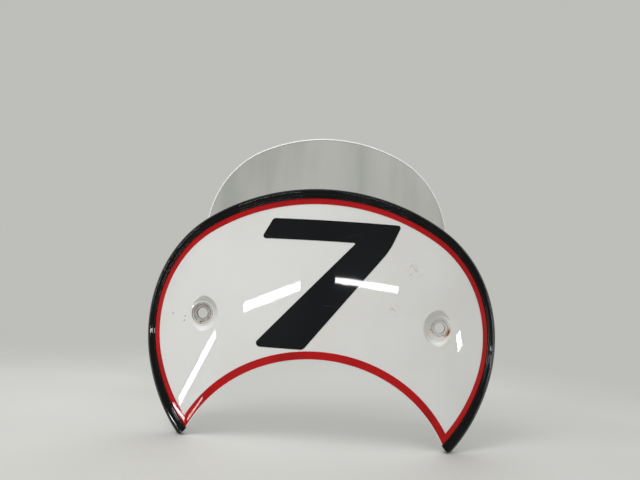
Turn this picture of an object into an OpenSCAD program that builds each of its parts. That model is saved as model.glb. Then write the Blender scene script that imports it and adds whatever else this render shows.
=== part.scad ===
// Headlight fairing mask: a wrapped number-board panel with a round cut-out
// for the lamp, a black edge moulding and a clear screen behind its top edge.
//
// Frame: +X to the right and +Z up the board, as seen from the front, and +Y
// backwards. The origin is midway between the two mounting holes, on the plane
// of their flat screw seats. The board faces -Y.

/* [Wrap] */
// Radius that the board is bent to, about an upright axis
wrap_r = 287; // [260:1:340]
// Thickness of the board, measured backwards
board_t = 3; // [2.5:0.1:4]

/* [Outline] */
// Height of the board's printed field above the mounting holes
field_top = 100; // [96:1:106]
// Radius of the outline's top arc
top_r = 195; // [188:1:204]
// Sideways place of the shoulder arcs' centres
shoulder_x = 48; // [44:1:52]
// Height of the shoulder arcs' centres
shoulder_z = -9.5; // [-12:0.5:-6]
// Angle below level at which the shoulder arcs give way to the lower arcs
lower_start = 20; // [14:1:26]
// Radius of the lower arcs, which run to the tips of the horns
lower_r = 130; // [122:1:140]

/* [Lamp cut-out] */
// Radius of the round cut-out that clears the lamp
cut_r = 118.5; // [114:0.5:121]
// Depth of the cut-out's centre below the mounting holes
cut_drop = 149; // [147:0.5:153]

/* [Mounting holes] */
// Distance between the two mounting holes
hole_spacing = 200; // [190:1:206]
// Diameter of each through hole
hole_d = 9; // [7:0.5:10]
// Outer diameter of the fine groove around each through hole
ring_d = 11.8; // [11.8:0.1:14]
// Depth of that groove
ring_h = 0.4; // [0.2:0.1:0.8]
// Diameter of the flat screw seat
seat_d = 17.3; // [15:0.1:19]
// Diameter of the recess's level floor around the seat
floor_d = 22; // [20:0.5:24]
// Diameter of the recess's rounded mouth in the face of the board
recess_d = 30; // [28:0.5:32]
// Height of the step between the recess's floor and the seat
recess_step = 1.1; // [0.6:0.1:2]
// Depth of the seat below the printed face, at the hole's centre
seat_drop = 4.5; // [4:0.1:5.5]
// Wall left around and behind the recess
cup_wall = 3; // [2.5:0.1:4]

/* [Edge moulding] */
// Width of the black edge moulding over the top and sides, seen from the front
trim_w = 8; // [7.5:0.1:9]
// Width of the edge moulding at the tips of the horns
trim_tip_w = 9.8; // [9:0.1:10.5]
// How far the board reaches under the moulding
trim_grip = 4; // [3.5:0.1:4.5]
// How far the moulding's ends run past the board into the cut-out
trim_end = 1.2; // [1.1:0.1:2]

/* [Print] */
// Width of the red line along the outer edge
line_w = 4.8; // [3:0.1:7]
// Width of the red line along the cut-out
cut_line_w = 6.1; // [4:0.1:8]
// White lip left between the red line and the cut-out
cut_lip = 0.8; // [0.4:0.1:2]
// Thickness of the printed films
film_t = 0.2; // [0.1:0.05:0.3]
// Height of the numeral's top above the mounting holes
seven_top = 82; // [78:1:84]
// Thickness of the numeral's bar
seven_bar = 17; // [12:1:20]

/* [Screen] */
// Height of the screen's top above the mounting holes
screen_top = 153; // [140:1:175]
// Radius of the screen's top arc
screen_top_r = 150; // [145:1:160]
// Sideways place of the screen's shoulder centres
screen_x = 28; // [26:1:32]
// Height of the screen's shoulder centres
screen_z = 71; // [69:1:75]
// Height of the screen's hidden lower edge
screen_foot = 42; // [38:1:46]
// Thickness of the clear sheet
screen_t = 3; // [2.5:0.1:4]
// Gap from the printed face back to the clear sheet
screen_set = 8; // [7.9:0.1:9]
// Angle around the wrap between neighbouring screen screws
screw_pitch = 13; // [11:0.5:14]
// Height of the screen screws above the mounting holes
screw_z = 57; // [55:1:62]

/* [Hidden] */
$fn = 96;
// Facets round the wrap's large cylinders, where only an arc of each is used
bend_fn = 1080;

hole_x = hole_spacing / 2;
// The wrap axis stands this far behind the screw seats
wrap_y = sqrt(wrap_r * wrap_r - hole_x * hole_x) - seat_drop;
// Heights that cut tools and blanks need to pass right through the part
low_z = -130;
high_z = 190;
front_y = -60;
back_y = 80;

top_c = [0, field_top - top_r];
shoulder_c = [shoulder_x, shoulder_z];
shoulder_r = top_r - norm(shoulder_c - top_c);
// Angle, from +X, at which the top arc meets the shoulder arc
join_a = atan2(shoulder_c.y - top_c.y, shoulder_c.x - top_c.x);
lower_c = shoulder_c + (shoulder_r - lower_r) * [cos(lower_start), -sin(lower_start)];
cut_c = [0, -cut_drop];

screen_top_c = [0, screen_top - screen_top_r];
screen_c = [screen_x, screen_z];
screen_side_r = screen_top_r - norm(screen_c - screen_top_c);
screen_join_a = atan2(screen_c.y - screen_top_c.y, screen_c.x - screen_top_c.x);

// Gap between the red line and the edge moulding
edge_slack = 0.1;

// Width of the fine groove around each through hole
ring_w = 0.7;

boss_d = 12;
insert_d = 5.6;
insert_l = 5;
screw_d = 4;
screw_slack = 0.05;
screw_head_d = 8;
screw_head_h = 2.6;
screen_hole_d = 4.8;
washer_d = 11;
washer_t = 1.5;
recess_w = 0.9;
recess_l = 4.4;
recess_deep = 1.5;
// Radii about the wrap axis of the clear sheet's two faces
sheet_front_r = wrap_r - screen_set;
sheet_back_r = sheet_front_r - screen_t;
// A flat washer inside the bend touches it with its rim
washer_r = sqrt(sheet_back_r * sheet_back_r - washer_d * washer_d / 4);
head_r = washer_r - washer_t;

// Depth of the printed face at a sideways place x
function face_y(x) = wrap_y - sqrt(wrap_r * wrap_r - x * x);

// Everything inside the wrap, behind a face this far behind the printed one
module bent_solid(depth) {
    translate([0, wrap_y + depth, low_z])
        cylinder(r = wrap_r, h = high_z - low_z, $fn = bend_fn);
}

// Board blank between two depths behind the printed face
module slab(from, to) {
    difference() {
        bent_solid(from);
        translate([0, 0, -1]) bent_solid(to);
        translate([0, 0, 1]) bent_solid(to);
    }
}

// Pushes a flat outline, drawn in X and Z, through the part
module through(from = front_y, to = back_y) {
    translate([0, to, 0])
        rotate([90, 0, 0])
            linear_extrude(height = to - from)
                children();
}

// Slice of a disc between two angles
module pie(r, a, b) {
    reach = 2 * r;
    mid = (a + b) / 2;
    intersection() {
        circle(r = r, $fn = 360);
        polygon([
            [0, 0], reach * [cos(a), sin(a)],
            reach * [cos(mid), sin(mid)], reach * [cos(b), sin(b)]
        ]);
    }
}

// Outer outline of the printed field, grown by d
module field(d) {
    translate(top_c) pie(top_r + d, join_a, 180 - join_a);
    for (side = [0, 1])
        mirror([side, 0]) {
            translate(shoulder_c) circle(r = shoulder_r + d, $fn = 360);
            translate(lower_c) pie(lower_r + d, -lower_start - 45, -lower_start);
        }
}

// Outline of the board: the field less a cut-out of radius r
module crescent(d, r) {
    difference() {
        field(d);
        translate(cut_c) circle(r = r, $fn = 360);
    }
}

// Steps along the top, shoulder and lower arcs of one half of the outline
top_steps = 17;
shoulder_steps = 26;
lower_steps = 12;
half_steps = top_steps + shoulder_steps + lower_steps;

function on_arc(c, r, a) = c + r * [cos(a), sin(a)];

// Angle on the lower arc, grown by d, at which it meets a cut-out of radius e
function end_a(d, e) =
    let (
        r = lower_r + d,
        v = cut_c - lower_c,
        far = norm(v)
    )
    atan2(v.y, v.x) + acos((r * r + far * far - e * e) / (2 * r * far));

// Point of the right half of the outline, grown by d, at step k from the top.
// Its lower arc ends at the angle tip_a.
function half_point(k, d, tip_a) =
    k <= top_steps
        ? on_arc(top_c, top_r + d, 90 - (90 - join_a) * k / top_steps)
    : k <= top_steps + shoulder_steps
        ? on_arc(shoulder_c, shoulder_r + d,
            join_a - (join_a + lower_start) * (k - top_steps) / shoulder_steps)
    : on_arc(lower_c, lower_r + d,
        -lower_start + (tip_a + lower_start)
        * (k - top_steps - shoulder_steps) / lower_steps);

function mirrored(p, side) = [side * p.x, p.y];

// Closed outline of a printed line's edge: the field grown by d, less a cut-out of radius e
function film_outline(d, e) =
    let (
        end = end_a(d, e),
        tip = half_point(half_steps, d, end) - cut_c,
        from = atan2(tip.y, tip.x),
        steps = 48
    )
    concat(
        [for (k = [-half_steps:half_steps]) mirrored(half_point(abs(k), d, end), sign(k))],
        [for (i = [1:steps - 1]) on_arc(cut_c, e, from + (180 - 2 * from) * i / steps)]
    );

// Outline of the clear sheet: a flat top arc, two shoulder arcs and a level foot
function screen_outline() =
    let (
        foot_a = asin((screen_foot - screen_c.y) / screen_side_r),
        half = concat(
            [for (i = [1:14]) on_arc(screen_top_c, screen_top_r,
                90 - (90 - screen_join_a) * i / 14)],
            [for (i = [1:22]) on_arc(screen_c, screen_side_r,
                screen_join_a + (foot_a - screen_join_a) * i / 22)]
        )
    )
    concat(
        [for (i = [len(half) - 1:-1:0]) mirrored(half[i], -1)],
        [[0, screen_top]],
        half
    );

// Puts a piece on the wrap at angle a and height z, with -Y pointing outwards
module on_wrap(a, z) {
    translate([0, wrap_y, z])
        rotate([0, 0, a])
            children();
}

// Round bar along a wrap radius, between two distances from the wrap axis
module spoke(d, from, to) {
    translate([0, -from, 0])
        rotate([90, 0, 0])
            cylinder(d = d, h = to - from, $fn = 48);
}

// Round bar along Y at a mounting hole
module hole_bar(d, from, to) {
    translate([0, to, 0])
        rotate([90, 0, 0])
            cylinder(d = d, h = to - from, $fn = 72);
}

// Sunk recess: a level floor and a wall that rolls outwards to the mouth
module recess_cut() {
    roll = [[0, 0], [0.1, 0.2], [0.32, 0.42], [0.62, 0.66], [0.88, 0.88], [1, 1.2]];
    wall_w = (recess_d - floor_d) / 2;
    wall_h = seat_drop - recess_step;
    rotate([90, 0, 0])
        rotate_extrude($fn = 72)
            polygon(concat(
                [[0, recess_step]],
                [for (s = roll) [floor_d / 2 + s.x * wall_w, recess_step + s.y * wall_h]],
                [[recess_d / 2, 40], [0, 40]]
            ));
}

module at_holes() {
    for (x = [-hole_x, hole_x])
        translate([x, 0, 0])
            children();
}

module at_screws() {
    for (a = [-screw_pitch, 0, screw_pitch])
        on_wrap(a, screw_z)
            children();
}

// Board with its sunk screw seats and, behind it, the bosses for the screen
module mask_panel() {
    color("whitesmoke")
        difference() {
            union() {
                intersection() {
                    slab(0, board_t);
                    through() crescent(trim_grip, cut_r);
                }
                // Cups of the sunk seats, trimmed flush with the printed face
                intersection() {
                    at_holes() hole_bar(recess_d + 2 * cup_wall, -25, cup_wall);
                    slab(0.5, 60);
                }
                // Bosses, ended by the curve of the clear sheet
                difference() {
                    at_screws() spoke(boss_d, sheet_front_r - 1, wrap_r - 1);
                    translate([0, wrap_y, 0])
                        cylinder(r = sheet_front_r, h = high_z, $fn = bend_fn);
                }
            }
            at_holes() {
                recess_cut();
                hole_bar(seat_d, -40, 0);
                difference() {
                    hole_bar(ring_d, -1, ring_h);
                    hole_bar(ring_d - 2 * ring_w, -2, ring_h + 1);
                }
                hole_bar(hole_d, -1, cup_wall + 1);
            }
            at_screws() spoke(insert_d, sheet_front_r - 2, sheet_front_r + insert_l);
        }
}

// Section of the edge moulding: distance out from the field, depth behind the face.
// A small lip, a groove and a rolled bead in front, and a flange behind the board.
trim_gap = 0.15;
skin_gap = 0.02;
trim_section = [
    [0, -skin_gap], [0.1, -0.8], [0.6, -1.15], [1.5, -1.15], [2.1, -0.8], [2.6, -0.8],
    [3.2, -1.7], [4.2, -2.5], [5.4, -2.8], [trim_w - 1.4, -2.4], [trim_w - 0.5, -1.2],
    [trim_w, 0.6], [trim_w, 3.2], [trim_w - 0.4, 4.9], [trim_w - 1.2, 6], [trim_w - 2.3, 6.3],
    [4.6, 5.8], [1.6, 4.9], [1.1, 4.4], [1.1, board_t + 0.4], [1.5, board_t + skin_gap],
    [trim_grip + trim_gap, board_t + skin_gap], [trim_grip + trim_gap, -skin_gap]
];

// Past this step from the top the moulding widens towards the tips
swell_from = top_steps + 18;

function swell(k) =
    k <= swell_from ? 0
    : let (u = (k - swell_from) / (half_steps - swell_from))
        (trim_tip_w - trim_w) * u * u * (3 - 2 * u);

// Outward place d of the section, widened past the board's edge at step k
function widened(d, k) =
    let (slot = trim_grip + trim_gap)
    d <= slot ? d : d + swell(k) * (d - slot) / (trim_w - slot);

// Edge moulding, swept from the left tip over the top to the right tip and cut square
module edge_trim() {
    n = len(trim_section);
    last = 2 * half_steps;
    end = end_a(0, cut_r - trim_end);
    points = [
        for (i = [0:last], s = trim_section)
            let (
                k = abs(i - half_steps),
                p = mirrored(half_point(k, widened(s[0], k), end), sign(i - half_steps))
            )
            [p.x, face_y(p.x) + s[1], p.y]
    ];
    sides = [
        for (i = [0:last - 1], j = [0:n - 1])
            let (a = i * n + j, b = i * n + (j + 1) % n)
            each [[a, b, b + n], [a, b + n, a + n]]
    ];
    caps = [
        [for (j = [n - 1:-1:0]) j],
        [for (j = [0:n - 1]) last * n + j]
    ];
    color([0.05, 0.05, 0.06])
        polyhedron(points = points, faces = concat(sides, caps), convexity = 10);
}

// Red line that follows the outer edge and the cut-out and meets at the tips
module red_border() {
    color([0.72, 0.05, 0.08])
        intersection() {
            slab(-film_t, 0);
            through()
                difference() {
                    polygon(film_outline(-edge_slack, cut_r + cut_lip));
                    polygon(film_outline(-line_w, cut_r + cut_lip + cut_line_w));
                }
        }
}

function unit(v) = v / norm(v);

// Rounds the corners of an outline whose points are [x, z, corner radius]
function rounded(corners, steps = 6) = [
    for (i = [0:len(corners) - 1])
        let (
            last = corners[(i + len(corners) - 1) % len(corners)],
            next = corners[(i + 1) % len(corners)],
            p = [corners[i].x, corners[i].y],
            u = unit([last.x, last.y] - p),
            v = unit([next.x, next.y] - p),
            half = acos(u * v) / 2,
            r = corners[i].z,
            c = p + unit(u + v) * r / sin(half),
            a = p + u * r / tan(half) - c,
            b = p + v * r / tan(half) - c,
            start = atan2(a.y, a.x),
            turn = (atan2(b.y, b.x) - start + 540) % 360 - 180
        )
        for (k = [0:steps]) on_arc(c, r, start + turn * k / steps)
];

// Plain slanted figure: a straight bar and a straight, widening stem
module race_numeral() {
    bar_low = seven_top - seven_bar;
    bar_left = -52;
    bar_right = 63;
    bar_slant = 9;
    stem_low = -23;
    color([0.08, 0.09, 0.1])
        intersection() {
            slab(-film_t, 0);
            through()
                polygon(rounded([
                    [bar_left, bar_low, 2.2], [bar_left + bar_slant, seven_top, 3.5],
                    [bar_right, seven_top, 2], [bar_right - bar_slant, bar_low - 4, 60],
                    [-12, stem_low, 5], [-54, stem_low, 3], [26, bar_low, 0.8]
                ]));
        }
}

// Clear sheet, bent about the same axis as the board
module windscreen() {
    color([0.85, 0.92, 0.95, 0.35])
        difference() {
            intersection() {
                translate([0, wrap_y, low_z])
                    cylinder(r = sheet_front_r, h = high_z - low_z, $fn = bend_fn);
                through() polygon(screen_outline());
            }
            translate([0, wrap_y, low_z - 1])
                cylinder(r = sheet_back_r, h = high_z - low_z + 2, $fn = bend_fn);
            at_screws() spoke(screen_hole_d, sheet_back_r - 4, sheet_front_r + 4);
        }
}

// Pan head screws that hold the sheet to the bosses, driven from behind
module screen_screws() {
    color("silver")
        at_screws()
            difference() {
                union() {
                    spoke(screw_head_d, head_r - screw_head_h, head_r);
                    spoke(screw_d - 2 * screw_slack, head_r - 0.5, sheet_front_r + insert_l - 0.4);
                }
                translate([0, -(head_r - screw_head_h), 0])
                    for (turn = [0, 90])
                        rotate([0, turn, 0])
                            cube([recess_l, 2 * recess_deep, recess_w], center = true);
            }
}

// Soft washers between the screw heads and the sheet
module screen_washers() {
    color([0.15, 0.15, 0.15])
        at_screws()
            difference() {
                spoke(washer_d, head_r, washer_r);
                spoke(screw_d + 0.2, head_r - 1, washer_r + 1);
            }
}

// Brass inserts in the bosses
module threaded_inserts() {
    color("goldenrod")
        intersection() {
            at_screws()
                difference() {
                    spoke(insert_d, sheet_front_r - 1, sheet_front_r + insert_l);
                    spoke(screw_d, sheet_front_r - 2, sheet_front_r + insert_l + 1);
                }
            difference() {
                translate([0, wrap_y, 0]) cylinder(r = wrap_r, h = high_z, $fn = bend_fn);
                translate([0, wrap_y, -1]) cylinder(r = sheet_front_r, h = high_z + 2, $fn = bend_fn);
            }
        }
}

mask_panel();
edge_trim();
red_border();
race_numeral();
windscreen();
screen_screws();
screen_washers();
threaded_inserts();
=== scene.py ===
# Headlight fairing mask: the gloss white number board with its red and black
# films, rolled black edge moulding and clear screen, dressed for rendering.
# Lengths in the dictionaries are millimetres, everything built is in metres.
import math

import bmesh
import bpy
from mathutils import Matrix, Vector


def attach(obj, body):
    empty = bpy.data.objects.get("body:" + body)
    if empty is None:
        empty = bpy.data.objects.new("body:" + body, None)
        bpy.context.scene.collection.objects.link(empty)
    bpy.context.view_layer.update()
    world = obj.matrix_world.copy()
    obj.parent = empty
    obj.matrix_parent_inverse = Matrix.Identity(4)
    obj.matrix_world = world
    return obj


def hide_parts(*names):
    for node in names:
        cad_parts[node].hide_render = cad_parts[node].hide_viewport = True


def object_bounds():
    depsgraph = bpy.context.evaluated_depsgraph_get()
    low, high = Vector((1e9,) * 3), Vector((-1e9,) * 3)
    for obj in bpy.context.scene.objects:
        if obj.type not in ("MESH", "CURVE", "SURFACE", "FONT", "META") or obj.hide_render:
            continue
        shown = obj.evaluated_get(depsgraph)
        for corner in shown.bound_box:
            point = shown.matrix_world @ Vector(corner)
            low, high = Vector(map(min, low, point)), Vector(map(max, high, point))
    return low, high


mm = 0.001

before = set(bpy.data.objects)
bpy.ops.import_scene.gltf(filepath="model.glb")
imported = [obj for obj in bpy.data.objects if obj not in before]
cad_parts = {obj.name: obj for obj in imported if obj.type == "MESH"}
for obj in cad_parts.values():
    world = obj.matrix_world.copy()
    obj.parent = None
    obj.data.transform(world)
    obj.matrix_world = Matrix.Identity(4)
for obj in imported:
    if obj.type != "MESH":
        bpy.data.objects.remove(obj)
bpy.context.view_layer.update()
print("frame loaded:", sorted(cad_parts))


# The wrapped face and its outline
wrap = {"radius": 287.0, "seatDrop": 4.5, "holeX": 100.0, "faceCosine": 0.9998}
wrap["axisY"] = math.sqrt(wrap["radius"] ** 2 - wrap["holeX"] ** 2) - wrap["seatDrop"]

outline = {
    "topCentre": (0.0, -95.0), "topRadius": 195.0,
    "shoulderCentre": (48.0, -9.5), "lowerStart": 20.0, "lowerRadius": 130.0,
    "cutCentre": (0.0, -149.0), "cutRadius": 118.5,
}


def awayFromAxis(place):  # level direction from the wrap's axis to a place in metres
    return Vector((place.x, place.y - wrap["axisY"] * mm, 0)).normalized()


def onArc(centre, radius, angle):
    return Vector((centre[0] + radius * math.cos(angle), centre[1] + radius * math.sin(angle)))


def outlineArcs():  # the three arcs of the right half, as centre, radius, from, to
    top = Vector(outline["topCentre"])
    shoulder = Vector(outline["shoulderCentre"])
    shoulderRadius = outline["topRadius"] - (shoulder - top).length
    joinAngle = math.atan2(shoulder.y - top.y, shoulder.x - top.x)
    lowerAngle = -math.radians(outline["lowerStart"])
    lower = onArc(shoulder, shoulderRadius - outline["lowerRadius"], lowerAngle)
    return top, shoulder, shoulderRadius, joinAngle, lowerAngle, lower


def tipAngle(lower, radius, cutRadius):  # where a lower arc meets a cut-out circle
    gap = Vector(outline["cutCentre"]) - lower
    cosine = (radius ** 2 + gap.length ** 2 - cutRadius ** 2) / (2 * radius * gap.length)
    return math.atan2(gap.y, gap.x) + math.acos(cosine)


# Camera
cameraPlan = {
    "place": (10.0, -444.2, 20.2), "focalPixels": 522.0, "frame": (640, 480), "sensor": 36,
    "right": (0.99775, 0.02558, 0.06192), "down": (0.05879, 0.10884, -0.99232),
    "forward": (-0.03213, 0.99373, 0.10709),
}


def pixelRay(pixel):  # direction of the view through a place in the 640 x 480 frame
    width, height = cameraPlan["frame"]
    ray = (Vector(cameraPlan["forward"]) * cameraPlan["focalPixels"]
           + Vector(cameraPlan["right"]) * (pixel[0] - width / 2)
           + Vector(cameraPlan["down"]) * (pixel[1] - height / 2))
    return ray.normalized()


def facePoint(pixel):  # place on the printed face, in mm, and its normal
    start = Vector(cameraPlan["place"]) - Vector((0, wrap["axisY"], 0))
    ray = pixelRay(pixel)
    a = ray.x ** 2 + ray.y ** 2
    b = start.x * ray.x + start.y * ray.y
    c = start.x ** 2 + start.y ** 2 - wrap["radius"] ** 2
    reach = (-b - math.sqrt(b * b - a * c)) / a
    hit = start + ray * reach
    return hit + Vector((0, wrap["axisY"], 0)), Vector((hit.x, hit.y, 0)).normalized()


def seatPoint(pixel):  # place on the plane of the screw seats
    start, ray = Vector(cameraPlan["place"]), pixelRay(pixel)
    return start - ray * (start.y / ray.y)


def mirrored(place, normal, distance):  # what a glossy place shows to the camera
    ray = (place - Vector(cameraPlan["place"])).normalized()
    return place + (ray - normal * 2 * ray.dot(normal)) * distance


cameraData = bpy.data.cameras.new("mainCamera")
cameraData.sensor_width = cameraPlan["sensor"]
cameraData.lens = cameraPlan["sensor"] * cameraPlan["focalPixels"] / cameraPlan["frame"][0]
cameraData.clip_start = 0.01
cameraObject = bpy.data.objects.new("mainCamera", cameraData)
bpy.context.collection.objects.link(cameraObject)
cameraAxes = Matrix((Vector(cameraPlan["right"]), -Vector(cameraPlan["down"]),
                     -Vector(cameraPlan["forward"]))).transposed()
cameraObject.matrix_world = (Matrix.Translation(Vector(cameraPlan["place"]) * mm)
                             @ cameraAxes.to_4x4())
bpy.context.scene.camera = cameraObject
bpy.context.scene.view_settings.view_transform = "Standard"
print("camera placed")


# Materials
def linearColour(code, alpha=1.0):  # sRGB hex to the linear colour Blender mixes
    parts = [int(code[i:i + 2], 16) / 255 for i in (0, 2, 4)]
    return tuple(p / 12.92 if p < 0.04045 else ((p + 0.055) / 1.055) ** 2.4 for p in parts) + (alpha,)


def addNode(tree, kind, settings=None, links=None):
    node = tree.nodes.new(kind)
    for key, value in (settings or {}).items():
        if isinstance(key, int) or key in node.inputs:
            node.inputs[key].default_value = value
        else:
            setattr(node, key, value)
    for key, socket in (links or {}).items():
        tree.links.new(socket, node.inputs[key])
    return node


def newMaterial(name, settings):
    material = bpy.data.materials.new(name)
    material.use_nodes = True
    tree = material.node_tree
    tree.nodes.clear()
    shader = addNode(tree, "ShaderNodeBsdfPrincipled", settings)
    addNode(tree, "ShaderNodeOutputMaterial", None, {"Surface": shader.outputs["BSDF"]})
    place = addNode(tree, "ShaderNodeTexCoord").outputs["Object"]
    return material, tree, shader, place


def noiseAt(tree, place, size, detail=2.0, roughness=0.5, offset=(0, 0, 0)):  # size in mm
    moved = addNode(tree, "ShaderNodeMapping", {"Location": offset}, {"Vector": place})
    return addNode(tree, "ShaderNodeTexNoise",
                   {"Scale": 1 / (size * mm), "Detail": detail, "Roughness": roughness},
                   {"Vector": moved.outputs[0]}).outputs["Fac"]


def stepped(tree, value, low, high, start=0.0, end=1.0):
    return addNode(tree, "ShaderNodeMapRange",
                   {"interpolation_type": "SMOOTHSTEP", "From Min": low, "From Max": high,
                    "To Min": start, "To Max": end}, {"Value": value}).outputs["Result"]


def product(tree, first, second):
    return addNode(tree, "ShaderNodeMath", {"operation": "MULTIPLY"}, {0: first, 1: second}).outputs[0]


def tinted(tree, base, colour, amount):  # base towards a colour by an amount from 0 to 1
    mixed = addNode(tree, "ShaderNodeMix", {"data_type": "RGBA", 7: colour}, {0: amount})
    if isinstance(base, tuple):
        mixed.inputs[6].default_value = base
    else:
        tree.links.new(base, mixed.inputs[6])
    return mixed.outputs[2]


def nearPoint(tree, place, point, inner, outer):  # 1 within inner mm of a point, 0 past outer
    gap = addNode(tree, "ShaderNodeVectorMath",
                  {"operation": "DISTANCE", 1: tuple(Vector(point) * mm)}, {0: place})
    return stepped(tree, gap.outputs["Value"], inner * mm, outer * mm, 1.0, 0.0)


def fromAxis(tree, place, hole):  # distance from the axis of a screw hole
    flat = addNode(tree, "ShaderNodeVectorMath", {"operation": "MULTIPLY", 1: (1, 0, 1)}, {0: place})
    return addNode(tree, "ShaderNodeVectorMath",
                   {"operation": "DISTANCE", 1: tuple(Vector(hole) * mm)},
                   {0: flat.outputs[0]}).outputs["Value"]


def ringMask(tree, reach, radius, width):  # 1 on a ring, 0 past its width, both in mm
    apart = addNode(tree, "ShaderNodeMath", {"operation": "SUBTRACT", 1: radius * mm}, {0: reach})
    apart = addNode(tree, "ShaderNodeMath", {"operation": "ABSOLUTE"}, {0: apart.outputs[0]})
    return stepped(tree, apart.outputs[0], width * mm * 0.3, width * mm, 1.0, 0.0)


# Scratch lines: a noise field crossed at one level, stretched along a direction
def hairlines(tree, place, look):
    stretched = addNode(tree, "ShaderNodeMapping",
                        {"Rotation": (0, look["hairTurn"], 0), "Scale": look["hairStretch"],
                         "Location": look["hairOffset"]}, {"Vector": place})
    field = addNode(tree, "ShaderNodeTexNoise",
                    {"Scale": 1 / (look["hairSize"] * mm), "Detail": 1.0},
                    {"Vector": stretched.outputs[0]}).outputs["Fac"]
    apart = addNode(tree, "ShaderNodeMath", {"operation": "SUBTRACT", 1: 0.5}, {0: field})
    off = addNode(tree, "ShaderNodeMath", {"operation": "ABSOLUTE"}, {0: apart.outputs[0]})
    return stepped(tree, off.outputs[0], 0.0, look["hairLevel"], 1.0, 0.0)


def lacquerWave(tree, place, look):  # the faint waviness that lacquer leaves
    return addNode(tree, "ShaderNodeBump", {"Strength": 1.0, "Distance": look["waveHeight"] * mm},
                   {"Height": noiseAt(tree, place, look["waveSize"], look["waveDetail"])}).outputs[0]


# White ABS, injection moulded and clear lacquered: an even, slightly warm white with a hard
# gloss, a faint waviness, grime, specks and a rust stain round its screw seats, and painted shade in
# its bores
boardLook = {
    "white": "E5E5E3", "aged": "DFDEDA", "dirt": "6B655B", "rust": "AD7128", "rustCore": "6A4212",
    "scuff": "B9A498", "boreShadeAndSpeck": "3B362E", "speck": "57524A",
    "agedSize": 70.0, "speckSize": 1.6, "scuffSize": 3.2, "blotchSize": 4.0,
    "waveSize": 8.0, "waveHeight": 0.012, "waveDetail": 2.0,
    "leftHole": (-100.0, 0.0, 0.0), "rightHole": (100.0, 0.0, 0.0),
    # Painted shade in the bores, full to none by radius from each hole's axis; depth of the seat's
    # front
    "boreFade": (4.6, 4.9), "seatDepth": (0.8, 1.6),
    # Rings round the holes as hole, radius, half width, colour and strength: brown rings of grime,
    # and a wide grey ring round the left bore
    "rings": [
        ("leftHole", 5.6, 2.2, "9E9588", 0.8), ("leftHole", 7.2, 0.75, "564E42", 0.8),
        ("leftHole", 8.7, 0.6, "857967", 0.7), ("rightHole", 6.6, 0.8, "857D70", 0.65),
    ],
    "rustArc": {"radius": 8.1, "width": 1.6, "middle": (106.8, 0.0, -3.6), "reach": 6.2},
    # Single specks as pixels in the frame, with their radius
    "seatSpecks": [(203.2, 302.6), (213.7, 307.8), (192.0, 312.6), (200.4, 322.2), (208.8, 322.6)],
    "faceSpecks": [(184.3, 320.2), (173.0, 313.0), (185.2, 315.8)], "speckRadius": 0.8,
    "darkSpeck": (448.5, 340.6), "darkRadius": 1.05,
    "brownSpeck": (430.6, 329.7), "brownRadius": 0.9,
    # Where the fine dirt gathers, from full to none
    "leftDirt": (7, 21), "rightDirt": (7, 20), "dirtPixel": (187, 318), "pixelDirt": (3, 16),
    "scuffPixels": [((414, 270), 11.0), ((394, 311), 7.0)],
}
whiteAbs, tree, shader, place = newMaterial(
    "lacqueredWhiteAbs", {"Roughness": 0.35, "IOR": 1.5, "Specular IOR Level": 0.1,
                          "Coat Weight": 1.0, "Coat Roughness": 0.025, "Coat IOR": 1.5})
colour = tinted(tree, linearColour(boardLook["white"]), linearColour(boardLook["aged"]),
                stepped(tree, noiseAt(tree, place, boardLook["agedSize"]), 0.35, 0.75, 0.0, 0.8))
specks = stepped(tree, noiseAt(tree, place, boardLook["speckSize"], 3.0, 0.7), 0.66, 0.71)
for spot, (inner, outer) in ((boardLook["leftHole"], boardLook["leftDirt"]),
                             (boardLook["rightHole"], boardLook["rightDirt"]),
                             (facePoint(boardLook["dirtPixel"])[0], boardLook["pixelDirt"])):
    near = product(tree, nearPoint(tree, place, spot, inner, outer), specks)
    colour = tinted(tree, colour, linearColour(boardLook["dirt"]), near)
for pixel, reach in boardLook["scuffPixels"]:
    rubbed = noiseAt(tree, place, boardLook["scuffSize"], 3.0, 0.7, (0.3, 0, 0.1))
    patch = product(tree, nearPoint(tree, place, facePoint(pixel)[0], reach * 0.3, reach),
                    stepped(tree, rubbed, 0.5, 0.62, 0.0, 0.35))
    colour = tinted(tree, colour, linearColour(boardLook["scuff"]), patch)
# Rings round the screw holes, broken up by a blotch field, and painted shade that darkens each bore
blotches = stepped(tree, noiseAt(tree, place, boardLook["blotchSize"], 3.0, 0.6), 0.3, 0.62, 0.35, 1.0)
reaches = {hole: fromAxis(tree, place, boardLook[hole]) for hole in ("leftHole", "rightHole")}
depth = addNode(tree, "ShaderNodeSeparateXYZ", None, {0: place}).outputs["Y"]
nearSeat, farSeat = boardLook["seatDepth"]
front = product(tree, blotches, stepped(tree, depth, nearSeat * mm, farSeat * mm, 1.0, 0.0))
for hole, radius, width, shade, amount in boardLook["rings"]:
    ring = product(tree, ringMask(tree, reaches[hole], radius, width),
                   stepped(tree, front, 0.0, 1.0, 0.0, amount))
    colour = tinted(tree, colour, linearColour(shade), ring)
# Painted shade: the bore of each screw hole is painted dark brown-grey, standing in for the shadow
# inside the hole
inBore, pastBore = boardLook["boreFade"]
for reach in reaches.values():
    colour = tinted(tree, colour, linearColour(boardLook["boreShadeAndSpeck"]),
                    stepped(tree, reach, inBore * mm, pastBore * mm, 0.97, 0.0))
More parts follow.
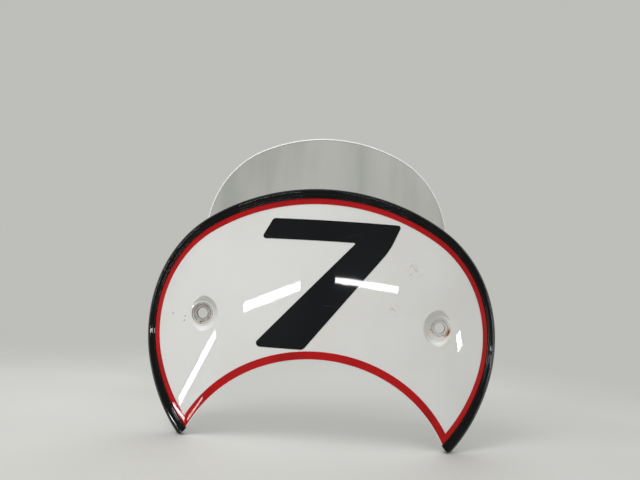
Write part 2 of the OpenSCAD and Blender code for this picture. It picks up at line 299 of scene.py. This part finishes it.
# The rust stain, an arc of one ring with a darker core
arc = boardLook["rustArc"]
stain = product(tree, ringMask(tree, reaches["rightHole"], arc["radius"], arc["width"]),
                nearPoint(tree, place, arc["middle"], arc["reach"] * 0.3, arc["reach"]))
colour = tinted(tree, colour, linearColour(boardLook["rust"]), product(tree, stain, front))
core = product(tree, ringMask(tree, reaches["rightHole"], arc["radius"], arc["width"] * 0.6),
               nearPoint(tree, place, arc["middle"], 0.5, arc["reach"] * 0.6))
colour = tinted(tree, colour, linearColour(boardLook["rustCore"]), product(tree, core, front))
spots = [(seatPoint(pixel), "speck", boardLook["speckRadius"]) for pixel in boardLook["seatSpecks"]]
spots += [(facePoint(pixel)[0], "speck", boardLook["speckRadius"]) for pixel in boardLook["faceSpecks"]]
spots += [(seatPoint(boardLook["darkSpeck"]), "boreShadeAndSpeck", boardLook["darkRadius"]),
          (seatPoint(boardLook["brownSpeck"]), "rust", boardLook["brownRadius"])]
for spot, shade, radius in spots:
    colour = tinted(tree, colour, linearColour(boardLook[shade]),
                    nearPoint(tree, place, spot, radius * 0.35, radius))
tree.links.new(colour, shader.inputs["Base Color"])
wave = lacquerWave(tree, place, boardLook)
tree.links.new(wave, shader.inputs["Coat Normal"])
tree.links.new(wave, shader.inputs["Normal"])

# Red printed vinyl under the same lacquer: deep even red in full gloss, a little uneven in tone
redLook = {
    "red": "B8060B", "worn": "9E050A", "wornSize": 26.0,
    "waveSize": 12.0, "waveHeight": 0.01, "waveDetail": 1.0,
}
redVinyl, tree, shader, place = newMaterial(
    "lacqueredRedVinyl", {"Roughness": 0.35, "IOR": 1.5, "Specular IOR Level": 0.05,
                          "Coat Weight": 1.0, "Coat Roughness": 0.03, "Coat IOR": 1.5})
colour = tinted(tree, linearColour(redLook["red"]), linearColour(redLook["worn"]),
                stepped(tree, noiseAt(tree, place, redLook["wornSize"]), 0.4, 0.7, 0.0, 0.7))
tree.links.new(colour, shader.inputs["Base Color"])
tree.links.new(lacquerWave(tree, place, redLook), shader.inputs["Coat Normal"])

# Black printed vinyl under lacquer: nearly neutral black with a cold cast and hairlines,
# which are drawn wider than real ones, so that they show
numeralLook = {
    "black": "0B0D11", "hair": "34373C", "patchSize": 30.0,
    "hairSize": 26.0, "hairTurn": 0.7, "hairStretch": (0.16, 1, 1), "hairLevel": 0.0035,
    "hairOffset": (0.2, 0.1, 0.3),
    "waveSize": 12.0, "waveHeight": 0.01, "waveDetail": 1.0,
}
blackVinyl, tree, shader, place = newMaterial(
    "lacqueredBlackVinyl", {"Roughness": 0.35, "IOR": 1.45, "Specular IOR Level": 0.05,
                            "Coat Weight": 1.0, "Coat Roughness": 0.03, "Coat IOR": 1.45})
scratches = product(tree, hairlines(tree, place, numeralLook),
                    stepped(tree, noiseAt(tree, place, numeralLook["patchSize"]), 0.5, 0.62, 0.0, 0.7))
colour = tinted(tree, linearColour(numeralLook["black"]), linearColour(numeralLook["hair"]), scratches)
tree.links.new(colour, shader.inputs["Base Color"])
tree.links.new(lacquerWave(tree, place, numeralLook), shader.inputs["Coat Normal"])

# Black ABS moulding with a polished face: deep black, sharp highlights, thin patches of dust
trimLook = {
    "black": "08090B", "dust": "1C1D20", "dustSize": 12.0, "markSize": 30.0, "roughness": (0.04, 0.09),
}
blackAbs, tree, shader, place = newMaterial("glossBlackAbs", {"IOR": 1.46})
dust = stepped(tree, noiseAt(tree, place, trimLook["dustSize"], 4.0, 0.65), 0.5, 0.8, 0.0, 0.6)
colour = tinted(tree, linearColour(trimLook["black"]), linearColour(trimLook["dust"]), dust)
tree.links.new(colour, shader.inputs["Base Color"])
tree.links.new(stepped(tree, noiseAt(tree, place, trimLook["markSize"], 2.0), 0.35, 0.75,
                       *trimLook["roughness"]), shader.inputs["Roughness"])

# Clear cast acrylic sheet: water clear, with faint upright streaks of haze
acrylicLook = {
    "clear": "EFF0EE", "hazed": "D6D8D5", "hazeSize": 32.0, "hazeStretch": (1, 1, 0.22),
    # Painted highlight colours for the sheet's rounded edge
    "edge": "FBFBFA", "edgeHighlightDim": "F2F2F0", "edgeSize": 12.0,
}
clearAcrylic, tree, shader, place = newMaterial(
    "clearCastAcrylic", {"Roughness": 0.01, "IOR": 1.49, "Transmission Weight": 1.0})
upright = addNode(tree, "ShaderNodeMapping", {"Scale": acrylicLook["hazeStretch"]},
                  {"Vector": place}).outputs[0]
haze = stepped(tree, noiseAt(tree, upright, acrylicLook["hazeSize"], 3.0), 0.35, 0.75)
colour = tinted(tree, linearColour(acrylicLook["clear"]), linearColour(acrylicLook["hazed"]), haze)
tree.links.new(colour, shader.inputs["Base Color"])

# The sheet's cut edge, sanded round and flame polished. Painted highlight: the edge is given a
# near-white, mostly opaque finish that stands in for the light it gathers
paintedEdgeHighlight, tree, shader, place = newMaterial(
    "paintedHighlightEdge", {"Roughness": 0.15, "IOR": 1.49, "Transmission Weight": 0.1})
colour = tinted(tree, linearColour(acrylicLook["edge"]), linearColour(acrylicLook["edgeHighlightDim"]),
                noiseAt(tree, place, acrylicLook["edgeSize"], 3.0))
tree.links.new(colour, shader.inputs["Base Color"])

# Stainless screw, cold headed and tumbled: grey metal with fine random grain
screwLook = {"steel": "B9B8B4", "dull": "94938F", "grainSize": 0.7, "roughness": (0.28, 0.42)}
stainless, tree, shader, place = newMaterial("tumbledStainless", {"Metallic": 1.0})
grain = noiseAt(tree, place, screwLook["grainSize"], 3.0)
colour = tinted(tree, linearColour(screwLook["steel"]), linearColour(screwLook["dull"]), grain)
tree.links.new(colour, shader.inputs["Base Color"])
tree.links.new(stepped(tree, grain, 0.3, 0.7, *screwLook["roughness"]), shader.inputs["Roughness"])

# Black rubber washer, punched from sheet: dull, with a faint grey bloom
washerLook = {"rubber": "1C1C1C", "bloom": "3A3A39", "bloomSize": 3.0}
rubber, tree, shader, place = newMaterial("punchedBlackRubber", {"Roughness": 0.78, "IOR": 1.52})
bloom = stepped(tree, noiseAt(tree, place, washerLook["bloomSize"], 3.0), 0.45, 0.75, 0.0, 0.6)
colour = tinted(tree, linearColour(washerLook["rubber"]), linearColour(washerLook["bloom"]), bloom)
tree.links.new(colour, shader.inputs["Base Color"])

# Brass insert, turned bright and dulled by age
insertLook = {"brass": "C9A557", "tarnish": "8F6E30", "tarnishSize": 2.2, "roughness": (0.25, 0.4)}
brass, tree, shader, place = newMaterial("agedTurnedBrass", {"Metallic": 1.0})
tarnish = noiseAt(tree, place, insertLook["tarnishSize"], 3.0)
colour = tinted(tree, linearColour(insertLook["brass"]), linearColour(insertLook["tarnish"]), tarnish)
tree.links.new(colour, shader.inputs["Base Color"])
tree.links.new(stepped(tree, tarnish, 0.3, 0.7, *insertLook["roughness"]), shader.inputs["Roughness"])
print("materials made")


# Pieces taken from the CAD nodes
# A merged copy with true normals, so that the gloss wrap reflects without facets
def wrappedCopy(node, name, material, sharpAngle=30.0):
    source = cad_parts[node]
    mesh = source.data.copy()
    piece = bpy.data.objects.new(name, mesh)
    bpy.context.collection.objects.link(piece)
    work = bmesh.new()
    work.from_mesh(mesh)
    bmesh.ops.transform(work, matrix=source.matrix_world, verts=work.verts)
    bmesh.ops.remove_doubles(work, verts=work.verts, dist=0.002 * mm)
    for edge in work.edges:
        edge.smooth = len(edge.link_faces) == 2 and edge.calc_face_angle(4) < math.radians(sharpAngle)
    for face in work.faces:
        face.smooth = True
    work.to_mesh(mesh)
    work.free()
    normals = []
    for polygon in mesh.polygons:
        for loop in polygon.loop_indices:
            radial = awayFromAxis(mesh.vertices[mesh.loops[loop].vertex_index].co)
            turned = radial.dot(polygon.normal)
            if abs(turned) > wrap["faceCosine"]:
                normals.append(radial * math.copysign(1, turned))
            else:
                normals.append(mesh.corner_normals[loop].vector.copy())
    mesh.normals_split_custom_set(normals)
    mesh.materials.clear()
    mesh.materials.append(material)
    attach(piece, "root")
    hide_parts(node)
    return piece


wrappedCopy("mask_panel", "numberBoard", whiteAbs)
wrappedCopy("red_border", "redBorderFilm", redVinyl)
wrappedCopy("race_numeral", "numeralFilm", blackVinyl)
for node, material in (("screen_screws", stainless), ("screen_washers", rubber),
                       ("threaded_inserts", brass)):
    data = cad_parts[node].data
    data.materials.clear()
    data.materials.append(material)
print("board and films dressed")


# Pieces drawn flat and laid on the wrap
# A tree that bends flat geometry, drawn in X and Z with its depth in Y, onto the wrap
def wrapNodes(tree, given, geometry):
    here = addNode(tree, "GeometryNodeInputPosition")
    split = addNode(tree, "ShaderNodeSeparateXYZ", None, {0: here.outputs[0]})
    across = addNode(tree, "ShaderNodeMath", {"operation": "MULTIPLY"},
                     {0: split.outputs["X"], 1: split.outputs["X"]})
    around = addNode(tree, "ShaderNodeMath", {"operation": "MULTIPLY"},
                     {0: given["Wrap Radius"], 1: given["Wrap Radius"]})
    left = addNode(tree, "ShaderNodeMath", {"operation": "SUBTRACT"},
                   {0: around.outputs[0], 1: across.outputs[0]})
    root = addNode(tree, "ShaderNodeMath", {"operation": "SQRT"}, {0: left.outputs[0]})
    back = addNode(tree, "ShaderNodeMath", {"operation": "SUBTRACT"},
                   {0: given["Wrap Axis Depth"], 1: root.outputs[0]})
    shift = addNode(tree, "ShaderNodeCombineXYZ", None, {"Y": back.outputs[0]})
    laid = addNode(tree, "GeometryNodeSetPosition", None,
                   {"Geometry": geometry, "Offset": shift.outputs[0]})
    single = addNode(tree, "GeometryNodeRealizeInstances", None, {"Geometry": laid.outputs[0]})
    dressed = addNode(tree, "GeometryNodeSetMaterial", None,
                      {"Geometry": single.outputs[0], "Material": given["Material"]})
    addNode(tree, "NodeGroupOutput", None, {"Geometry": dressed.outputs[0]})


def newTree(name, inputs):
    tree = bpy.data.node_groups.new(name, "GeometryNodeTree")
    sockets = [("Geometry", "Geometry")] + inputs + [
        ("Wrap Radius", "Float"), ("Wrap Axis Depth", "Float"), ("Material", "Material")]
    for label, kind in sockets:
        tree.interface.new_socket(label, in_out="INPUT", socket_type="NodeSocket" + kind)
    tree.interface.new_socket("Geometry", in_out="OUTPUT", socket_type="NodeSocketGeometry")
    return tree, addNode(tree, "NodeGroupInput").outputs


def namedValue(tree, name, kind="FLOAT"):
    return addNode(tree, "GeometryNodeInputNamedAttribute",
                   {"data_type": kind, "Name": name}).outputs["Attribute"]


# Sweeps a section along a path of points that say which way is outward. Points of the
# section past the board's edge move outward by the path's extra width.
def sweepTree():
    tree, given = newTree("sweepOnWrap", [("Section", "Object")])
    path = addNode(tree, "GeometryNodeMeshToCurve", None, {"Mesh": given["Geometry"]})
    outward = namedValue(tree, "outward", "FLOAT_VECTOR")
    turned = addNode(tree, "GeometryNodeSetCurveNormal", {"mode": "FREE"},
                     {"Curve": path.outputs[0], "Normal": outward})
    drawn = addNode(tree, "GeometryNodeObjectInfo", None, {"Object": given["Section"]})
    section = addNode(tree, "GeometryNodeMeshToCurve", None, {"Mesh": drawn.outputs["Geometry"]})
    swept = addNode(tree, "GeometryNodeCurveToMesh", {"Fill Caps": True},
                    {"Curve": turned.outputs[0], "Profile Curve": section.outputs[0]})
    reach = product(tree, namedValue(tree, "extra"), namedValue(tree, "outerShare"))
    offset = addNode(tree, "ShaderNodeVectorMath", {"operation": "SCALE"}, {0: outward, "Scale": reach})
    widened = addNode(tree, "GeometryNodeSetPosition", None,
                      {"Geometry": swept.outputs[0], "Offset": offset.outputs[0]})
    wrapNodes(tree, given, widened.outputs[0])
    return tree


def bendTree():
    tree, given = newTree("bendOnWrap", [])
    wrapNodes(tree, given, given["Geometry"])
    return tree


def throughTree(name, mesh, group, values, helpers=()):
    carrier = bpy.data.objects.new(name + "Flat", mesh)
    bpy.context.collection.objects.link(carrier)
    modifier = carrier.modifiers.new("onWrap", "NODES")
    modifier.node_group = group
    given = {"Wrap Radius": wrap["radius"] * mm, "Wrap Axis Depth": wrap["axisY"] * mm, **values}
    for item in group.interface.items_tree:
        if item.item_type == "SOCKET" and item.in_out == "INPUT" and item.name in given:
            modifier[item.identifier] = given[item.name]
    graph = bpy.context.evaluated_depsgraph_get()
    made = bpy.data.meshes.new_from_object(carrier.evaluated_get(graph))
    made.name = name
    piece = bpy.data.objects.new(name, made)
    bpy.context.collection.objects.link(piece)
    for used in (carrier, *helpers):
        bpy.data.objects.remove(used)
    return piece


def smoothPiece(piece, sharpAngle):
    work = bmesh.new()
    work.from_mesh(piece.data)
    bmesh.ops.remove_doubles(work, verts=work.verts, dist=0.001 * mm)
    bmesh.ops.recalc_face_normals(work, faces=work.faces)
    if work.calc_volume(signed=True) < 0:
        bmesh.ops.reverse_faces(work, faces=work.faces)
    for face in work.faces:
        face.smooth = True
    for edge in work.edges:
        edge.smooth = edge.calc_face_angle(0) < math.radians(sharpAngle)
    work.to_mesh(piece.data)
    work.free()


# Edge moulding
# Section as outward distance and depth behind the face: lip, groove, rolled bead, flange
moulding = {
    "width": 8.0, "tipWidth": 9.8, "slot": 4.15, "endRun": 0.4, "middle": (4.4, 1.6),
    "stations": (60, 90, 60), "shoulderSteps": 26, "lowerSteps": 12, "swellFrom": 18,
    "cornerRound": 3.2,
    "section": [
        (-0.12, -0.24), (0.0, -0.75), (0.3, -1.08), (0.7, -1.17), (1.4, -1.15), (1.9, -0.95),
        (2.2, -0.82), (2.5, -0.85), (2.9, -1.25), (3.5, -1.95), (4.2, -2.5), (4.8, -2.74),
        (5.4, -2.8), (6.0, -2.72), (6.6, -2.4), (7.15, -1.85), (7.5, -1.2), (7.8, -0.4),
        (8.0, 0.6), (8.0, 1.9), (8.0, 3.2), (7.85, 4.1), (7.6, 4.9), (7.25, 5.5), (6.8, 6.0),
        (6.3, 6.22), (5.7, 6.3), (4.6, 5.8), (1.6, 4.9), (1.25, 4.65), (1.1, 4.3), (1.1, 3.4),
        (1.2, 3.12), (1.5, 3.02), (4.15, 3.02), (4.15, -0.02),
    ],
}


def eased(u):
    return u * u * (3 - 2 * u)


def outlineStations():  # place, outward way and extra width from the top to the right tip
    top, shoulder, shoulderRadius, joinAngle, lowerAngle, lower = outlineArcs()
    lowerRadius = outline["lowerRadius"]
    tip = tipAngle(lower, lowerRadius, outline["cutRadius"] - moulding["endRun"])
    topCount, shoulderCount, lowerCount = moulding["stations"]
    arcs = [(top, outline["topRadius"], math.pi / 2, joinAngle, topCount),
            (shoulder, shoulderRadius, joinAngle, lowerAngle, shoulderCount),
            (lower, lowerRadius, lowerAngle, tip, lowerCount)]
    half = [(onArc(top, outline["topRadius"], math.pi / 2), math.pi / 2, 0.0)]
    for part, (centre, radius, start, end, count) in enumerate(arcs):
        for i in range(1, count + 1):
            along = i / count
            if part == 2:  # steps grow finer towards the end, for its rounded corner
                along = 1 - (1 - along) ** 1.6
            angle = start + (end - start) * along
            half.append((onArc(centre, radius, angle), angle, part + along))
    # The moulding widens over the last steps of the shoulder and all those below it
    shoulderSteps, lowerSteps = moulding["shoulderSteps"], moulding["lowerSteps"]
    plain = shoulderSteps - moulding["swellFrom"]
    stations = []
    for place, angle, spot in half:
        past = (spot - 2) * (shoulderSteps if spot <= 2 else lowerSteps) + plain
        u = min(1.0, max(0.0, past / (plain + lowerSteps)))
        stations.append([place, angle, eased(u) * (moulding["tipWidth"] - moulding["width"])])
    return stations


def mouldingPath():  # a chain of edges through the section's middle, flat in XZ
    mesh = bpy.data.meshes.new("edgeMoulding")
    middle, depth = moulding["middle"]
    half = outlineStations()
    end = half[-1][0]
    points, ways, extras = [], [], []
    corner = moulding["cornerRound"]
    for side in (-1, 1):
        row = half[:0:-1] if side < 0 else half
        for place, angle, extra in row:
            way = Vector((math.cos(angle), math.sin(angle)))
            left = (place - end).length  # what is left to the end rounds its outer corner
            if left < corner:
                extra -= corner - math.sqrt(corner ** 2 - (corner - left) ** 2)
            centre = place + way * middle
            points.append(Vector((side * centre.x, depth, centre.y)) * mm)
            ways.append(Vector((side * way.x, 0, way.y)))
            extras.append(extra * mm)
    mesh.from_pydata(points, [(i, i + 1) for i in range(len(points) - 1)], [])
    mesh.attributes.new("outward", "FLOAT_VECTOR", "POINT")
    mesh.attributes.new("extra", "FLOAT", "POINT")
    for i, way in enumerate(ways):
        mesh.attributes["outward"].data[i].vector = way
        mesh.attributes["extra"].data[i].value = extras[i]
    return mesh


def mouldingSection():  # closed outline of the section about its middle
    section = moulding["section"]
    middle, depth = moulding["middle"]
    mesh = bpy.data.meshes.new("mouldingSection")
    count = len(section)
    mesh.from_pydata([((out - middle) * mm, -(back - depth) * mm, 0) for out, back in section],
                     [(i, (i + 1) % count) for i in range(count)], [])
    mesh.attributes.new("outerShare", "FLOAT", "POINT")
    slot, width = moulding["slot"], moulding["width"]
    for i, (out, back) in enumerate(section):
        mesh.attributes["outerShare"].data[i].value = max(0.0, out - slot) / (width - slot)
    piece = bpy.data.objects.new("mouldingSection", mesh)
    bpy.context.collection.objects.link(piece)
    return piece


section = mouldingSection()
edgeMoulding = throughTree("edgeMoulding", mouldingPath(), sweepTree(),
                           {"Section": section, "Material": blackAbs}, [section])
smoothPiece(edgeMoulding, 50)
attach(edgeMoulding, "root")
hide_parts("edge_trim")
print("edge moulding swept:", len(edgeMoulding.data.polygons), "faces")


# Clear screen
screen = {
    "topCentre": (0.0, 3.0), "topRadius": 150.0, "sideCentre": (28.0, 71.0), "foot": 42.0,
    "gap": 8.0, "thickness": 3.0, "rows": (40, 48), "columns": 64,
    "edgeRound": 1.3, "roundSteps": 5, "faceCosine": 0.995,
}


def screenRows():  # place and outward angle of the outline from the apex down to the foot
    top, side = Vector(screen["topCentre"]), Vector(screen["sideCentre"])
    sideRadius = screen["topRadius"] - (side - top).length
    join = math.atan2(side.y - top.y, side.x - top.x)
    foot = math.asin((screen["foot"] - side.y) / sideRadius)
    topCount, sideCount = screen["rows"]
    rows = []
    for i in range(topCount + 1):
        angle = math.pi / 2 + (join - math.pi / 2) * (i / topCount) ** 1.5
        rows.append((onArc(top, screen["topRadius"], angle), angle))
    for i in range(1, sideCount + 1):
        angle = join + (foot - join) * i / sideCount
        rows.append((onArc(side, sideRadius, angle), angle))
    return rows


def sheetLoop(place, angle):  # points round the sheet at one row, its edges rounded over
    half, corner, columns = screen["thickness"] / 2, screen["edgeRound"], screen["columns"]
    turns = [math.pi / 2 * i / screen["roundSteps"] for i in range(1, screen["roundSteps"] + 1)]
    front = [(corner * (1 - math.sin(t)), corner * (1 - math.cos(t)) - half) for t in turns]
    rim = front + [(inset, -depth) for inset, depth in reversed(front)]
    way = Vector((math.cos(angle), math.sin(angle)))
    inner = place - way * corner
    across = [inner.x * (2 * j / columns - 1) for j in range(columns + 1)]
    right = [(place - way * inset, depth) for inset, depth in rim]
    points = [(x, -half, inner.y) for x in across]
    points += [(spot.x, depth, spot.y) for spot, depth in right]
    points += [(x, half, inner.y) for x in reversed(across)]
    points += [(-spot.x, depth, spot.y) for spot, depth in reversed(right)]
    return points


def flatScreen():  # a flat sheet of rows of quads, closed by a level foot
    work = bmesh.new()
    depth = screen["gap"] + screen["thickness"] / 2
    loops = [sheetLoop(place, angle) for place, angle in screenRows()]
    loops[-1] = [(x, y, screen["foot"]) for x, y, z in loops[-1]]
    above = None
    for loop in loops:
        below = [work.verts.new(Vector((x, y + depth, z)) * mm) for x, y, z in loop]
        if above:
            for k in range(len(below)):
                after = (k + 1) % len(below)
                work.faces.new((above[k], below[k], below[after], above[after]))
        above = below
    work.faces.new(above)
    bmesh.ops.remove_doubles(work, verts=work.verts, dist=0.0005 * mm)
    mesh = bpy.data.meshes.new("clearScreen")
    work.to_mesh(mesh)
    work.free()
    return mesh


clearScreen = throughTree("clearScreen", flatScreen(), bendTree(), {"Material": clearAcrylic})
smoothPiece(clearScreen, 50)
# The rounded edge faces take the painted highlight finish
clearScreen.data.materials.append(paintedEdgeHighlight)
for polygon in clearScreen.data.polygons:
    if abs(awayFromAxis(polygon.center).dot(polygon.normal)) < screen["faceCosine"]:
        polygon.material_index = 1
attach(clearScreen, "root")
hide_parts("windscreen")
print("screen bent:", len(clearScreen.data.polygons), "faces")


# Floor, world and lights
studio = {
    "backdrop": "BEBEBA", "floorPale": "C9C9C5", "floorPatch": 400.0, "floorSpan": 9000.0,
    "fadeFrom": 380.0, "fadeTo": 900.0,
    "skyLevel": 0.66, "skyBelow": 0.25, "skyAbove": 1.3, "skyRise": (-0.5, 0.8),
    "frontGloss": 0.35, "glossRise": (-0.6, 0.5), "away": 900.0,
    "soft": [
        {"name": "softTopLeft", "place": (-480, -620, 960), "size": 560, "level": 6.4},
        {"name": "softRight", "place": (820, -520, 420), "size": 600, "level": 0.35},
        {"name": "softBehind", "place": (160, 780, 620), "size": 700, "level": 1.2},
    ],
    # Tubes whose images lie on the face between two pixels
    "tubes": [
        {"name": "tubeLow", "ends": [(215.3, 333.5), (179.8, 400.5)], "width": 2.9, "level": 34},
        {"name": "tubeLeft", "ends": [(244.5, 307), (300, 286)], "width": 5.6, "level": 34},
        {"name": "tubeRight", "ends": [(335, 280), (398, 290)], "width": 5.4, "level": 34},
        {"name": "tubeFar", "ends": [(458, 333), (460, 349)], "width": 4.0, "level": 30},
        {"name": "tubeTip", "ends": [(173.2, 403.5), (184.5, 419)], "width": 1.1, "level": 22},
        {"name": "tubeCut", "ends": [(202.7, 397.4), (187.6, 419)], "width": 0.7, "level": 14},
    ],
    # Long lamps that only draw fine lines on the rolled bead
    "bead": [
        {"name": "beadTop", "place": (0, -330, 900), "along": (1, 0, 0.01),
         "sizes": (1500, 50), "level": 4},
        {"name": "beadRight", "place": (950, 140, 60), "along": (0, 0, 1),
         "sizes": (900, 60), "level": 4},
        {"name": "beadLeft", "place": (-950, 140, 60), "along": (0, 0, 1),
         "sizes": (900, 50), "level": 3},
    ],
}

world = bpy.data.worlds.new("studioWorld")
bpy.context.scene.world = world
world.use_nodes = True
tree = world.node_tree
tree.nodes.clear()
lightPath = addNode(tree, "ShaderNodeLightPath")
seen = addNode(tree, "ShaderNodeMath", {"operation": "MAXIMUM"},
               {0: lightPath.outputs["Is Camera Ray"], 1: lightPath.outputs["Is Glossy Ray"]})
seen = addNode(tree, "ShaderNodeMath", {"operation": "MAXIMUM"},
               {0: seen.outputs[0], 1: lightPath.outputs["Is Transmission Ray"]})
aim = addNode(tree, "ShaderNodeSeparateXYZ", None,
              {0: addNode(tree, "ShaderNodeTexCoord").outputs["Generated"]})
# The unseen sky is a soft dome, brighter overhead than below
dome = stepped(tree, aim.outputs["Z"], *studio["skyRise"],
               studio["skyLevel"] * studio["skyBelow"], studio["skyLevel"] * studio["skyAbove"])
sky = addNode(tree, "ShaderNodeBackground", {"Color": (1, 1, 1, 1)}, {"Strength": dome})
backdrop = addNode(tree, "ShaderNodeBackground",
                   {"Color": linearColour(studio["backdrop"]), "Strength": 1.0})
mixed = addNode(tree, "ShaderNodeMixShader", None,
                {0: seen.outputs[0], 1: sky.outputs[0], 2: backdrop.outputs[0]})
# Gloss mirrors a dimmer front of the studio, but clear sheet isn't darkened by it
dim = stepped(tree, aim.outputs["Y"], *studio["glossRise"], studio["frontGloss"], 1.0)
mirrorOnly = addNode(tree, "ShaderNodeMath", {"operation": "SUBTRACT", "use_clamp": True},
                     {0: lightPath.outputs["Is Glossy Ray"],
                      1: lightPath.outputs["Is Transmission Ray"]})
glossy = addNode(tree, "ShaderNodeMix", {"data_type": "FLOAT", 2: 1.0},
                 {0: mirrorOnly.outputs[0], 3: dim})
tree.links.new(glossy.outputs[0], backdrop.inputs["Strength"])
addNode(tree, "ShaderNodeOutputWorld", None, {"Surface": mixed.outputs[0]})

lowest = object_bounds()[0][2]
floorMesh = bpy.data.meshes.new("studioFloor")
half = studio["floorSpan"] * mm / 2
floorMesh.from_pydata([(-half, -half, lowest), (half, -half, lowest), (half, half, lowest),
                       (-half, half, lowest)], [], [(0, 1, 2, 3)])
floor = bpy.data.objects.new("studioFloor", floorMesh)
bpy.context.collection.objects.link(floor)
floorPaint, tree, shader, place = newMaterial("studioFloorPaint", {"Roughness": 0.7})
patches = stepped(tree, noiseAt(tree, place, studio["floorPatch"]), 0.4, 0.7)
colour = tinted(tree, linearColour(studio["backdrop"]), linearColour(studio["floorPale"]), patches)
tree.links.new(colour, shader.inputs["Base Color"])
# Past the object the floor fades into the backdrop, so that no horizon shows
out = next(n for n in tree.nodes if n.type == "OUTPUT_MATERIAL")
plain = addNode(tree, "ShaderNodeEmission", {"Color": linearColour(studio["backdrop"])})
gap = addNode(tree, "ShaderNodeVectorMath", {"operation": "LENGTH"}, {0: place})
fade = stepped(tree, gap.outputs["Value"], studio["fadeFrom"] * mm, studio["fadeTo"] * mm)
blended = addNode(tree, "ShaderNodeMixShader", None,
                  {0: fade, 1: shader.outputs[0], 2: plain.outputs[0]})
tree.links.new(blended.outputs[0], out.inputs["Surface"])
floorMesh.materials.append(floorPaint)
floor.visible_glossy = False


def areaLight(name, place, target, along, sizes, level):  # places in mm, level as radiance
    data = bpy.data.lights.new(name, "AREA")
    data.shape = "RECTANGLE"
    data.size, data.size_y = sizes[0] * mm, sizes[1] * mm
    data.energy = level * math.pi * data.size * data.size_y
    lamp = bpy.data.objects.new(name, data)
    bpy.context.collection.objects.link(lamp)
    back = (Vector(place) - Vector(target)).normalized()
    side = (Vector(along) - back * Vector(along).dot(back)).normalized()
    turn = Matrix((side, back.cross(side), back)).transposed()
    lamp.matrix_world = Matrix.Translation(Vector(place) * mm) @ turn.to_4x4()
    lamp.visible_camera = False
    return lamp


for plan in studio["soft"]:
    lamp = areaLight(plan["name"], plan["place"], (0, 0, 0), (1, 0, 0.01),
                     (plan["size"], plan["size"]), plan["level"])
    lamp.visible_glossy = False
    lamp.visible_transmission = False


def onlyMirrored(lamp):  # the lamp shows as an image in gloss and lights nothing else
    lamp.visible_diffuse = False
    lamp.visible_transmission = False


for plan in studio["tubes"]:
    start, end = (Vector(pixel) for pixel in plan["ends"])
    middle = (start + end) / 2
    side = Vector((-(end - start).y, (end - start).x)).normalized() * plan["width"] / 2
    near, far, above, below = (mirrored(*facePoint(pixel), studio["away"])
                               for pixel in (start, end, middle + side, middle - side))
    sizes = ((far - near).length, (above - below).length)
    onlyMirrored(areaLight(plan["name"], (near + far) / 2, facePoint(middle)[0], far - near,
                           sizes, plan["level"]))
for plan in studio["bead"]:
    onlyMirrored(areaLight(plan["name"], plan["place"], (0, 0, 0), plan["along"],
                           plan["sizes"], plan["level"]))
print("studio lit")
